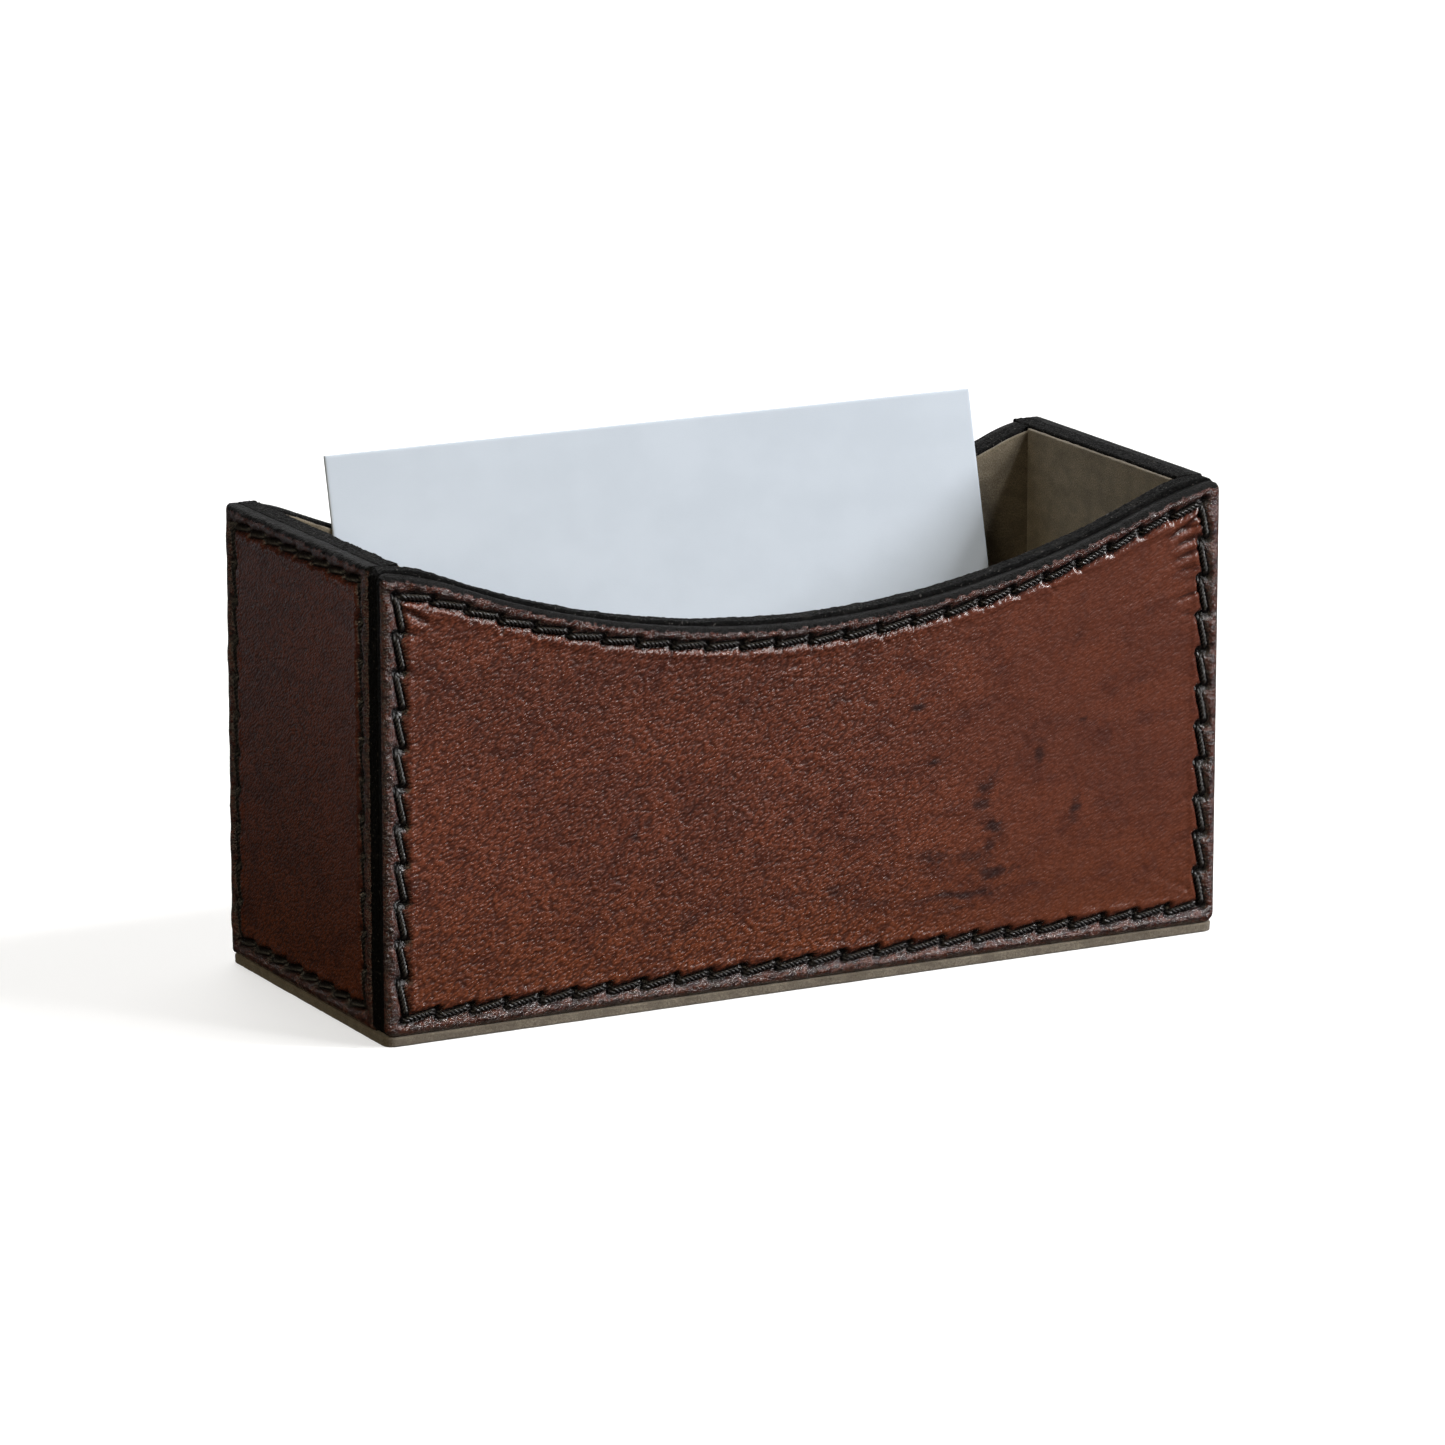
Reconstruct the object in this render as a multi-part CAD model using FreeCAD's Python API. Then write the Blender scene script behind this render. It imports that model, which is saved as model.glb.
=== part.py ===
import FreeCAD, Part

import math
import os

# Desk holder for business cards: an open box of four stitched panels, lined with suede.
# Each wall is a stiff board with a leather skin sewn to it and a suede lining glued inside.
# The front panel laps over the ends of the side panels; the back panel sits between them.
# Millimetres. The origin is the centre of the footprint, on the surface it rests on.
# +X is to the right, +Y to the rear and +Z up. The front panel faces -Y.

# Outer size
width = 108.0
depth = 41.8
height = 54.4

# Layers of a wall from the outside in, and of the floor from the bottom up
leather_thickness = 1.5
board_thickness = 2.3
lining_thickness = 0.5
pad_thickness = 1.1
floor_board_thickness = 4.2

# Panel outlines
corner_radius = 1.2
hem_radius = 0.8
pad_corner_radius = 1.3
lining_drop = 0.4

# The scoop in the rims of the front and back panels
scoop_radius = 118.0
scoop_low = 43.1
scoop_blend_radius = 4.0

# Saddle stitching: slanted stitches in a channel outside, straight ones in a channel inside
stitch_inset = 2.1
stitch_pitch = 4.4
stitch_slant = 0.5
thread_radius = 0.42
leg_radius = 0.58
thread_clearance = 0.06
channel_depth = 0.9

# The business card, and how it leans back on the rear rim
card_width = 85.0
card_height = 55.0
card_thickness = 0.4
card_lean = 14.0
card_gap = 0.05

# Derived sizes
shell_thickness = leather_thickness + board_thickness
wall_thickness = shell_thickness + lining_thickness
room_half_width = width / 2 - shell_thickness
room_half_depth = depth / 2 - shell_thickness
floor_board_top = pad_thickness + floor_board_thickness
floor_top = floor_board_top + lining_thickness
channel_half_width = stitch_slant + thread_radius + thread_clearance
scoop_centre = scoop_low + scoop_radius
side_half_length = (depth - shell_thickness) / 2
side_centre = shell_thickness / 2

# How far a cutting solid runs past the face that it cuts, and when two lengths are the same
OVERRUN = 1.0
SAME = 1e-6


def vec(x, y, z=0.0):
    return FreeCAD.Vector(x, y, z)


def line(start, end):
    return Part.LineSegment(start, end).toShape()


def arc(start, middle, end):
    return Part.Arc(start, middle, end).toShape()


def box(low, high):
    return Part.makeBox(high.x - low.x, high.y - low.y, high.z - low.z, low)


def rod(start, end, radius):
    return Part.makeCylinder(radius, start.distanceToPoint(end), start, end - start)


# ---- Rims, drawn flat from right to left: x across the panel and y up ----

def scoop_height(x, inset):
    """Height at x of the scoop's arc, moved into the panel by inset."""
    return scoop_centre - math.sqrt((scoop_radius + inset) ** 2 - x ** 2)


def scooped_rim(edge_x, inset):
    """A hollow arc, with flat corners and blends where the panel is wide enough for them."""
    lowest = vec(0, scoop_height(0, inset))
    flat_y = height - inset
    blend = scoop_blend_radius - inset
    blend_drop = scoop_centre - height + scoop_blend_radius
    blend_x = math.sqrt((scoop_radius + scoop_blend_radius) ** 2 - blend_drop ** 2)
    if blend_x >= edge_x:
        right = vec(edge_x, scoop_height(edge_x, inset))
        return [arc(right, lowest, vec(-right.x, right.y))]
    turn = math.atan2(blend_x, blend_drop)
    half_y = flat_y - blend * (1 - math.cos(turn / 2))
    half = vec(blend_x - blend * math.sin(turn / 2), half_y)
    join_y = flat_y - blend * (1 - math.cos(turn))
    join = vec(blend_x - blend * math.sin(turn), join_y)
    return [
        line(vec(edge_x, flat_y), vec(blend_x, flat_y)),
        arc(vec(blend_x, flat_y), half, join),
        arc(join, lowest, vec(-join.x, join.y)),
        arc(vec(-join.x, join.y), vec(-half.x, half.y), vec(-blend_x, flat_y)),
        line(vec(-blend_x, flat_y), vec(-edge_x, flat_y)),
    ]


def straight_rim(edge_x, inset):
    flat_y = height - inset
    return [line(vec(edge_x, flat_y), vec(-edge_x, flat_y))]


# ---- Panels, drawn flat with the outer face at z = 0 and the room at negative z ----

class Panel:
    """One wall's outline: half its width, the shape of its rim, and if its corners are round."""

    def __init__(self, half_width, rim, round_corners, foot=pad_thickness):
        self.half_width = half_width
        self.rim = rim
        self.round_corners = round_corners
        self.foot = foot

    def sides(self, inset):
        """The four sides of the outline moved inwards, each a list of edges, anticlockwise."""
        edge_x = self.half_width - inset
        top = self.rim(edge_x, inset)
        foot_left = vec(-edge_x, self.foot + inset)
        foot_right = vec(edge_x, self.foot + inset)
        rim_right = top[0].firstVertex().Point
        rim_left = vec(-edge_x, rim_right.y)
        return [
            [line(foot_left, foot_right)],
            [line(foot_right, rim_right)],
            top,
            [line(rim_left, foot_left)],
        ]

    def face(self, inset):
        return Part.Face(Part.Wire([edge for side in self.sides(inset) for edge in side]))

    def plate(self, near, far, inset=0.0):
        """A plate of the panel's outline, between two depths below the outer face."""
        face = self.face(inset)
        face.translate(vec(0, 0, -far))
        return face.extrude(vec(0, 0, far - near))

    def rounded_plate(self, near, far):
        plate = self.plate(near, far)
        if self.round_corners:
            corners = [edge for edge in plate.Edges if self.is_corner(edge)]
            plate = plate.makeFillet(corner_radius, corners)
        return plate

    def is_corner(self, edge):
        """True for an edge that runs through the plate's thickness at an outer corner."""
        start = edge.firstVertex().Point
        end = edge.lastVertex().Point
        through = abs(start.x - end.x) < SAME and abs(start.y - end.y) < SAME
        return through and abs(abs(start.x) - self.half_width) < SAME

    def channel(self, near, far):
        """The ring-shaped groove that the stitches lie in, all the way round the panel."""
        outer = self.face(stitch_inset - channel_half_width)
        ring = outer.cut(self.face(stitch_inset + channel_half_width))
        ring.translate(vec(0, 0, -far))
        return ring.extrude(vec(0, 0, far - near))

    def stitch_points(self):
        """Centres of the stitch holes, anticlockwise, evenly spaced along each side."""
        points = []
        for side in self.sides(stitch_inset):
            wire = Part.Wire(side)
            count = round(wire.Length / stitch_pitch)
            points.extend(wire.discretize(Number=count + 1)[:-1])
        return points

    def stitch_holes(self):
        top = vec(0, 0, OVERRUN)
        bottom = vec(0, 0, -shell_thickness - OVERRUN)
        radius = leg_radius + thread_clearance
        holes = [rod(point + top, point + bottom, radius) for point in self.stitch_points()]
        return Part.makeCompound(holes)


# ---- The pieces of a wall ----

def make_leather(panel):
    skin = panel.rounded_plate(0.0, leather_thickness)
    face_edges = [
        edge for edge in skin.Edges
        if all(abs(vertex.Z) < SAME for vertex in edge.Vertexes)
    ]
    skin = skin.makeFillet(hem_radius, face_edges)
    skin = skin.cut(panel.channel(-OVERRUN, channel_depth))
    return skin.cut(panel.stitch_holes())


def make_board(panel):
    core = panel.rounded_plate(leather_thickness, shell_thickness)
    channel_floor = shell_thickness - channel_depth
    core = core.cut(panel.channel(channel_floor, shell_thickness + OVERRUN))
    return core.cut(panel.stitch_holes())


def make_stitching(panel):
    """One thread: a slanted stitch outside and a straight one inside, for each pair of holes."""
    points = panel.stitch_points()
    outside = vec(0, 0, -thread_radius)
    inside = vec(0, 0, thread_radius + thread_clearance - shell_thickness)
    pieces = []
    for start, end in zip(points, points[1:] + points[:1]):
        along = (end - start).normalize()
        slant = vec(-along.y, along.x) * stitch_slant
        pieces.append(rod(start - slant + outside, end + slant + outside, thread_radius))
        pieces.append(rod(start + inside, end + inside, thread_radius))
        pieces.append(rod(start + outside, start + inside, leg_radius))
    return pieces[0].multiFuse(pieces[1:])


def make_scooped_lining():
    """Lining of the front or back wall, from the floor to just below the rim."""
    panel = Panel(room_half_width + lining_drop, scooped_rim, False, floor_top - lining_drop)
    return panel.plate(shell_thickness, wall_thickness, lining_drop)


def make_side_lining(side):
    """Lining of the left (side = -1) or right (side = 1) wall, between the other two."""
    outer = side * room_half_width
    inner = outer - side * lining_thickness
    half_length = room_half_depth - lining_thickness
    low = vec(min(outer, inner), -half_length, floor_top)
    return box(low, vec(max(outer, inner), half_length, height - lining_drop))


# ---- The floor ----

def make_floor_board():
    low = vec(-room_half_width, -room_half_depth, pad_thickness)
    return box(low, vec(room_half_width, room_half_depth, floor_board_top))


def make_floor_lining():
    low = vec(-room_half_width, -room_half_depth, floor_board_top)
    return box(low, vec(room_half_width, room_half_depth, floor_top))


def make_base_pad():
    pad = box(vec(-width / 2, -depth / 2, 0), vec(width / 2, depth / 2, pad_thickness))
    corners = [
        edge for edge in pad.Edges
        if abs(edge.Vertexes[0].Z - edge.Vertexes[1].Z) > pad_thickness / 2
    ]
    return pad.makeFillet(pad_corner_radius, corners)


# ---- The card ----

def make_card():
    """A card standing on the floor and leaning back on the rim of the back lining."""
    lean = math.radians(card_lean)
    foot_z = floor_top + card_gap
    rest_y = room_half_depth - lining_thickness
    rest_z = scoop_height(card_width / 2, lining_drop)
    foot_y = rest_y - (rest_z - foot_z) * math.tan(lean) - card_gap / math.cos(lean)
    low = vec(-card_width / 2, -card_thickness, 0)
    card = box(low, vec(card_width / 2, 0, card_height))
    card.rotate(vec(0, 0, 0), vec(1, 0, 0), -card_lean)
    card.translate(vec(0, foot_y, foot_z))
    return card


# ---- Assembly ----

def stand(shape, turn, base):
    """Stand a flat panel up, turn it about Z and move its foot to base."""
    upright = FreeCAD.Rotation(turn, 0, 90)
    placed = shape.copy()
    placed.Placement = FreeCAD.Placement(base, upright)
    return placed


front_panel = Panel(width / 2, scooped_rim, True)
back_panel = Panel(room_half_width, scooped_rim, False)
side_panel = Panel(side_half_length, straight_rim, False)

walls = {
    "front": (front_panel, 0, vec(0, -depth / 2)),
    "right": (side_panel, 90, vec(width / 2, side_centre)),
    "back": (back_panel, 180, vec(0, depth / 2)),
    "left": (side_panel, -90, vec(-width / 2, side_centre)),
}

nodes = {
    "base_pad": make_base_pad(),
    "floor_board": make_floor_board(),
    "floor_lining": make_floor_lining(),
    "left_lining": make_side_lining(-1),
    "right_lining": make_side_lining(1),
    "business_card": make_card(),
}

for name, (panel, turn, base) in walls.items():
    nodes[name + "_leather"] = stand(make_leather(panel), turn, base)
    nodes[name + "_board"] = stand(make_board(panel), turn, base)
    nodes[name + "_stitching"] = stand(make_stitching(panel), turn, base)

for name in ("front", "back"):
    _, turn, base = walls[name]
    nodes[name + "_lining"] = stand(make_scooped_lining(), turn, base)

os.makedirs("parts", exist_ok=True)
for name, shape in nodes.items():
    shape.exportStep("parts/" + name + ".step")
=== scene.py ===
"""Looks for the business card holder: stitched leather, dyed edges, suede and a blank card.

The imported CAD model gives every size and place. Meshes are worked out in millimetres in the
plane of the wall they belong to, and stood up in the frame's metres when they are made.
"""

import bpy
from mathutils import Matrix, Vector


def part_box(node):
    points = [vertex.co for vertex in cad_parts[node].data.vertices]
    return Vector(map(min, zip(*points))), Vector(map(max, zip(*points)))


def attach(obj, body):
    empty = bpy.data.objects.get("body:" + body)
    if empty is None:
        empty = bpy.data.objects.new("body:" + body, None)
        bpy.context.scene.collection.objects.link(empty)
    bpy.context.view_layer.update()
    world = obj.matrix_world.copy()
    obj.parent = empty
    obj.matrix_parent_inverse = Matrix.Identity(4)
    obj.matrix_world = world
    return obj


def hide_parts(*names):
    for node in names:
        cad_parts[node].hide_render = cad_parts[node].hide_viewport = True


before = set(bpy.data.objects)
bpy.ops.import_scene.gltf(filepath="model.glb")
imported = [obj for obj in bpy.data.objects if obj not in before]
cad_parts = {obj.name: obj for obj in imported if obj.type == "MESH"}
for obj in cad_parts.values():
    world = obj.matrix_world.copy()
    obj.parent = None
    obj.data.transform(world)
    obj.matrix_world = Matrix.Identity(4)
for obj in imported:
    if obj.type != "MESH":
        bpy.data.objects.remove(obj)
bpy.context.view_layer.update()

import copy
import itertools
import math

import bpy
import numpy as np
from mathutils import Vector

MM = 0.001


# ---- Sizes read from the frame, in millimetres ----

def low_of(node):
    return np.array(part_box(node)[0]) / MM


def high_of(node):
    return np.array(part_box(node)[1]) / MM


def size_of(node):
    return high_of(node) - low_of(node)


def vertices_of(node):
    return np.array([vertex.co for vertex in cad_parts[node].data.vertices]) / MM


WIDTH, DEPTH, PAD = size_of("base_pad")
HEIGHT = high_of("left_board")[2]
LEATHER = size_of("front_leather")[1]
BOARD = size_of("front_board")[1]
LINING = size_of("front_lining")[1]
FLOOR_TOP = high_of("floor_lining")[2]
LINING_DROP = HEIGHT - high_of("left_lining")[2]
SHELL = LEATHER + BOARD
WALL = SHELL + LINING
ROOM_HALF_WIDTH = WIDTH / 2 - SHELL
ROOM_HALF_DEPTH = DEPTH / 2 - SHELL


def scoop_circle():
    """Centre height and radius of the scoop, fitted to the rim of the front lining."""
    points = vertices_of("front_lining")
    rim = points[points[:, 2] > 0.6 * HEIGHT]
    # x^2 + z^2 = 2 c z + (r^2 - c^2), solved for c and r
    known = np.column_stack([2 * rim[:, 2], np.ones(len(rim))])
    centre, rest = np.linalg.lstsq(known, rim[:, 0] ** 2 + rim[:, 2] ** 2, rcond=None)[0]
    return centre, math.sqrt(rest + centre ** 2) - LINING_DROP


SCOOP_CENTRE, SCOOP_RADIUS = scoop_circle()
SCOOP_LOW = SCOOP_CENTRE - SCOOP_RADIUS

# ---- Choices for the looks, in millimetres ----

# Corners of the outlines, how far the edges are rounded over, and the steps along a cut edge
CORNER_RADIUS = 1.2
PAD_CORNER_RADIUS = 1.3
HEM_ROUND = 0.5
LINING_ROUND = 0.2
CARD_ROUND = 0.05
EDGE_STEP = 0.17

# The scoops as they were cut by hand: the lowest height, and how softly the arc meets the top
FRONT_SCOOP = (SCOOP_LOW, 3.2)
FRONT_BOARD_SCOOP = (SCOOP_LOW + 0.45, 1.6)
BACK_SCOOP = (SCOOP_LOW + 0.4, 1.5)

# Stitches: how far in they run, and how far each slants across its line at both ends
STITCH_INSET = 2.1
STITCH_PITCH = 4.4
FOOT_SLANT = 0.36
SIDE_SLANT = 0.5
RIM_SLANT = 0.24

# Thread: strands twisted round a line below the leather's face, which dives into the holes
STRANDS = 3
STRAND_RADIUS = 0.205
STRAND_OFFSET = 0.2
STRAND_SIDES = 6
TWIST_PITCH = 1.5
THREAD_STEPS = 37
THREAD_LEVEL = -0.3
THREAD_DIVE = 0.95

# Further than any relief or colour reaches from a stitch, and more stitches than a wall has
FAR = 9.0
MOST_STITCHES = 200

# The leather's face stays between these heights over the CAD face
LOWEST_RELIEF = -0.85
HIGHEST_RELIEF = 0.4

# The leather's grain runs up to the right, seen from outside
GRAIN_TURN = math.radians(-34)

# How far the black edge dye has crept on to the leather's face; below 0 it stops short of it
SIDE_DYE = -0.5
FOOT_DYE = -0.3
RIM_DYE = 0.45


# ---- Noise and soft steps ----

HASH_PRIMES = np.array([73856093, 19349663, 83492791])


def perlin(points, seed):
    """Gradient noise at an (n, 3) array of points, about -1 to 1, one cell per unit."""
    generator = np.random.RandomState(seed)
    gradients = generator.normal(size=(4096, 3))
    gradients /= np.linalg.norm(gradients, axis=1)[:, None]
    cell = np.floor(points).astype(np.int64)
    local = points - cell
    fade = local ** 3 * (local * (local * 6 - 15) + 10)
    total = np.zeros(len(points))
    for corner in itertools.product((0, 1), repeat=3):
        key = np.bitwise_xor.reduce((cell + corner) * HASH_PRIMES, axis=1)
        slope = gradients[key % len(gradients)]
        weight = np.where(corner, fade, 1 - fade).prod(axis=1)
        total += weight * (slope * (local - corner)).sum(axis=1)
    return total * 1.6


def plane_noise(u, v, cell_u, cell_v, seed):
    """Noise over a plane, with cells of a given width and height."""
    points = np.column_stack([(u / cell_u).ravel(), (v / cell_v).ravel(), np.full(u.size, 0.4)])
    return perlin(points, seed).reshape(u.shape)


def smooth_step(x, low, high):
    t = np.clip((x - low) / (high - low), 0, 1)
    return t * t * (3 - 2 * t)


def bell(x, centre, width):
    """A smooth bump of height 1."""
    return np.exp(-((x - centre) / width) ** 2)


def soft_min(a, b, k):
    """The smaller of two values, blended where they are within k of each other."""
    h = np.clip(0.5 + 0.5 * (b - a) / k, 0, 1)
    return b + (a - b) * h - k * h * (1 - h)


# ---- Walls: each is drawn flat, with u across, v up and w towards the side that shows ----

class Wall:
    """A flat frame with an outline: a box in u and v, from foot to top.

    A scoop is the arc's lowest height and how softly it meets the top; without one the rim is
    straight. A corner is the radius that round_corners gives the outline.
    """

    def __init__(self, origin, across, half_width, foot, top,
                 scoop=None, corner=0.0, upward=(0, 0, 1)):
        self.origin = np.array(origin, float)
        self.across = np.array(across, float)
        self.upward = np.array(upward, float)
        self.outward = np.cross(self.across, self.upward)
        self.half_width = half_width
        self.foot = foot
        self.top = top
        self.scoop = scoop
        self.corner = corner

    def to_world(self, u, v, w):
        u, v, w = (np.asarray(a, float).ravel()[:, None] for a in (u, v, w))
        return self.origin + self.across * u + self.upward * v + self.outward * w

    def rim(self, u, inset=0.0):
        """Height at u of the rim, moved into the wall by inset."""
        flat = np.full(np.shape(u), self.top - inset, float)
        if self.scoop is None:
            return flat
        lowest, blend = self.scoop
        reach = np.sqrt((SCOOP_RADIUS + inset) ** 2 - np.asarray(u) ** 2)
        return soft_min(lowest + SCOOP_RADIUS - reach, flat, blend)

    def distances(self, u, v):
        """How far each point is from the nearer side, the foot and the rim."""
        rim = self.top - v
        if self.scoop is not None:
            lowest, blend = self.scoop
            reach = np.hypot(u, lowest + SCOOP_RADIUS - v)
            rim = soft_min(rim, reach - SCOOP_RADIUS, blend)
        return self.half_width - np.abs(u), v - self.foot, rim

    def stitch_sides(self):
        """The four sides of the stitch line, anticlockwise from the lower left."""
        edge = self.half_width - STITCH_INSET
        low = self.foot + STITCH_INSET
        u = np.linspace(edge, -edge, 801)
        rim = np.column_stack([u, self.rim(u, STITCH_INSET)])
        return [
            np.array([(-edge, low), (edge, low)]),
            np.array([(edge, low), rim[0]]),
            rim,
            np.array([rim[-1], (-edge, low)]),
        ]

    def stitches(self):
        """Every stitch's holes on the stitch line, and the slant across it at each end."""
        starts, ends, slants = [], [], []
        sides = zip(self.stitch_sides(), (FOOT_SLANT, SIDE_SLANT, RIM_SLANT, SIDE_SLANT))
        for path, slant in sides:
            lengths = np.concatenate([[0], np.cumsum(np.hypot(*np.diff(path, axis=0).T))])
            count = round(lengths[-1] / STITCH_PITCH)
            marks = np.linspace(0, lengths[-1], count + 1)
            holes = np.column_stack([np.interp(marks, lengths, axis) for axis in path.T])
            starts.append(holes[:-1])
            ends.append(holes[1:])
            slants += [slant] * count
        starts, ends = np.concatenate(starts), np.concatenate(ends)
        along = (ends - starts) / np.linalg.norm(ends - starts, axis=1)[:, None]
        inward = np.column_stack([-along[:, 1], along[:, 0]])
        return starts, ends, inward * np.array(slants)[:, None]


# ---- Grids over a wall ----

def edge_steps(margin, step, roundness):
    """Distances from an edge: close together over its rounding, then even to the margin."""
    turn = np.linspace(0, math.pi / 2, 7)
    rounding = roundness * (1 - np.cos(turn))
    count = max(2, round((margin - roundness) / step))
    return np.concatenate([rounding, np.linspace(roundness, margin, count + 1)[1:]])


def wall_grid(wall, step_u, step_v, margin=4.6, edge_step=EDGE_STEP, roundness=HEM_ROUND):
    """Points over a wall's outline, closer together along its edges and following its rim."""
    steps = edge_steps(margin, edge_step, roundness)
    inner = wall.half_width - margin
    middle_u = np.linspace(-inner, inner, max(2, round(2 * inner / step_u)) + 1)[1:-1]
    line = np.concatenate([steps - wall.half_width, middle_u, (wall.half_width - steps)[::-1]])
    rim = wall.rim(line)
    count = max(2, round((wall.top - wall.foot - 2 * margin) / step_v))
    share = np.linspace(0, 1, count + 1)[1:-1, None]
    low = wall.foot + steps[:, None] + 0 * rim
    high = rim - steps[::-1, None]
    v = np.concatenate([low, low[-1] + (high[0] - low[-1]) * share, high])
    return np.tile(line, (len(v), 1)), v


def round_corners(wall, u, v):
    """Pulls the grid's square corners in to quarter discs."""
    if not wall.corner:
        return u, v
    from_side = wall.half_width - np.abs(u)
    rim = wall.rim(u)
    nearer_foot = v - wall.foot < rim - v
    from_end = np.where(nearer_foot, v - wall.foot, rim - v)
    a = np.clip(wall.corner - from_side, 0, None)
    b = np.clip(wall.corner - from_end, 0, None)
    inside = (a > 0) & (b > 0)
    scale = np.where(inside, np.maximum(a, b) / np.maximum(np.hypot(a, b), 1e-9), 1)
    u = u - np.sign(u) * a * (1 - scale)
    v = v - np.where(nearer_foot, -1, 1) * b * (1 - scale)
    return u, v


def boundary_ring(shape):
    """Indices of a grid's outer points, anticlockwise from the lower left."""
    index = np.arange(shape[0] * shape[1]).reshape(shape)
    return np.concatenate([index[0, :-1], index[:-1, -1], index[-1, :0:-1], index[:0:-1, 0]])


def cap_faces(shape):
    """Faces across a grid's boundary ring: one for each column, from foot to rim."""
    rows, columns = shape
    count = 2 * (columns + rows) - 4
    corner = columns + rows - 2
    faces = [[0, 1, *range(corner + columns - 2, count)]]
    for j in range(1, columns - 2):
        faces.append([j, j + 1, corner + columns - 2 - j, corner + columns - 1 - j])
    faces.append(list(range(columns - 2, corner + 2)))
    return faces


def grid_faces(shape):
    index = np.arange(shape[0] * shape[1]).reshape(shape)
    corners = index[:-1, :-1], index[:-1, 1:], index[1:, 1:], index[1:, :-1]
    return np.stack(corners, axis=-1).reshape(-1, 4).tolist()


def ring_normals(ring):
    """Unit normals, pointing outwards, of a closed anticlockwise ring of (n, 2) points."""
    along = np.roll(ring, -1, axis=0) - np.roll(ring, 1, axis=0)
    normals = np.column_stack([along[:, 1], -along[:, 0]])
    return normals / np.linalg.norm(normals, axis=1)[:, None]


# ---- Meshes ----

def make_object(name, points, faces, slot, replaced, body="holder", values=None):
    """A mesh object from points in millimetres, riding on a body in place of a CAD node."""
    mesh = bpy.data.meshes.new(name)
    mesh.from_pydata((points * MM).tolist(), [], faces)
    for key, data in (values or {}).items():
        attribute = mesh.attributes.new(key, "FLOAT" if data.ndim == 1 else "FLOAT_VECTOR", "POINT")
        field = "value" if data.ndim == 1 else "vector"
        attribute.data.foreach_set(field, data.astype(np.float32).ravel())
    mesh.shade_smooth()
    mesh.update()
    piece = bpy.data.objects.new(name, mesh)
    bpy.context.scene.collection.objects.link(piece)
    mesh.materials.append(MATERIALS[slot])
    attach(piece, body)
    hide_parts(replaced)
    return piece


def edge_levels(wall, ring, levels, roughness, seed):
    """Rings of a rough cut edge: each level is a depth below the face and a step inwards."""
    normals = ring_normals(ring)
    points = []
    for depth, inset in levels:
        place = wall.to_world(ring[:, 0], ring[:, 1], np.full(len(ring), -depth))
        fuzz = perlin(place / 0.5, seed) + 0.7 * perlin(place / 0.22, seed + 1)
        wave = perlin(place / 3.5, seed + 2)
        moved = ring + normals * (roughness * (fuzz + wave) - inset)[:, None]
        points.append(np.column_stack([moved, np.full(len(ring), -depth)]))
    return points


def carried_values(values, ring, heights):
    """Values for a whole sheet: its edge, of the given heights, has those of the grid's ring."""
    carried = {}
    for key, data in values.items():
        edge = np.tile(data.ravel()[ring], len(heights) // len(ring))
        if key == "dye":
            # The dye soaks in from the cut edge, so the deeper, the closer it is
            edge = edge + heights
        carried[key] = np.concatenate([data.ravel(), edge])
    return carried


def make_sheet(name, wall, u, v, w, levels, slot, replaced, roughness=0.03, seed=1,
               body="holder", values=None):
    """A closed sheet: a shaped grid on the side that shows, a rough edge and a flat back.

    Without w the side that shows is flat too, and is the first of the levels.
    """
    index = boundary_ring(u.shape)
    outline = np.column_stack([u.ravel()[index], v.ravel()[index]])
    rings = edge_levels(wall, outline, levels, roughness, seed)
    count = len(index)
    if w is None:
        grid = np.zeros((0, 3))
        faces = cap_faces(u.shape)
        upper = np.arange(count)
        first_lower = 1
    else:
        grid = np.column_stack([u.ravel(), v.ravel(), w.ravel()])
        faces = grid_faces(u.shape)
        upper = index
        first_lower = 0
    for level in range(first_lower, len(rings)):
        lower = len(grid) + level * count + np.arange(count)
        quads = np.column_stack([upper, lower, np.roll(lower, -1), np.roll(upper, -1)])
        faces += quads.tolist()
        upper = lower
    faces += [upper[face[::-1]].tolist() for face in cap_faces(u.shape)]
    local = np.concatenate([grid] + rings)
    # Every sheet reads its own slice of the materials' noise
    filled = {"flat": local + np.array([0, 0, 40.0 * seed])}
    filled.update(carried_values(values or {}, index, local[len(grid):, 2]))
    return make_object(name, wall.to_world(*local.T), faces, slot, replaced, body, filled)


# ---- Relief of the leather ----

def segment_distance(u, v, start, end):
    """Distance of each point from a segment, and how far along the segment it is."""
    along = end - start
    share = ((u - start[0]) * along[0] + (v - start[1]) * along[1]) / (along @ along)
    share = np.clip(share, 0, 1)
    return np.hypot(u - start[0] - share * along[0], v - start[1] - share * along[1]), share


def seam_field(wall, u, v, pulls):
    """For every point: its distance from the nearest stitch and slit, and the hem's lift."""
    # A slight wander, so that no groove has a clean outline
    u = u + 0.11 * plane_noise(u, v, 0.7, 0.7, 5)
    v = v + 0.11 * plane_noise(u, v, 0.7, 0.7, 6)
    starts, ends, slant = wall.stitches()
    slanted_starts = starts - slant
    slanted_ends = ends + slant
    next_starts = np.roll(slanted_starts, -1, axis=0)
    stitch = np.full(u.shape, FAR)
    slit = np.full(u.shape, FAR)
    chord = np.full(u.shape, FAR)
    lift = np.zeros(u.shape)
    for i, pull in enumerate(pulls[:len(starts)]):
        reach, share = segment_distance(u, v, starts[i], ends[i])
        lift = np.where(reach < chord, pull * np.sin(math.pi * share), lift)
        chord = np.minimum(chord, reach)
        stitch = np.minimum(stitch, segment_distance(u, v, slanted_starts[i], slanted_ends[i])[0])
        slit = np.minimum(slit, segment_distance(u, v, slanted_ends[i], next_starts[i])[0])
    return stitch, slit, lift


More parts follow.
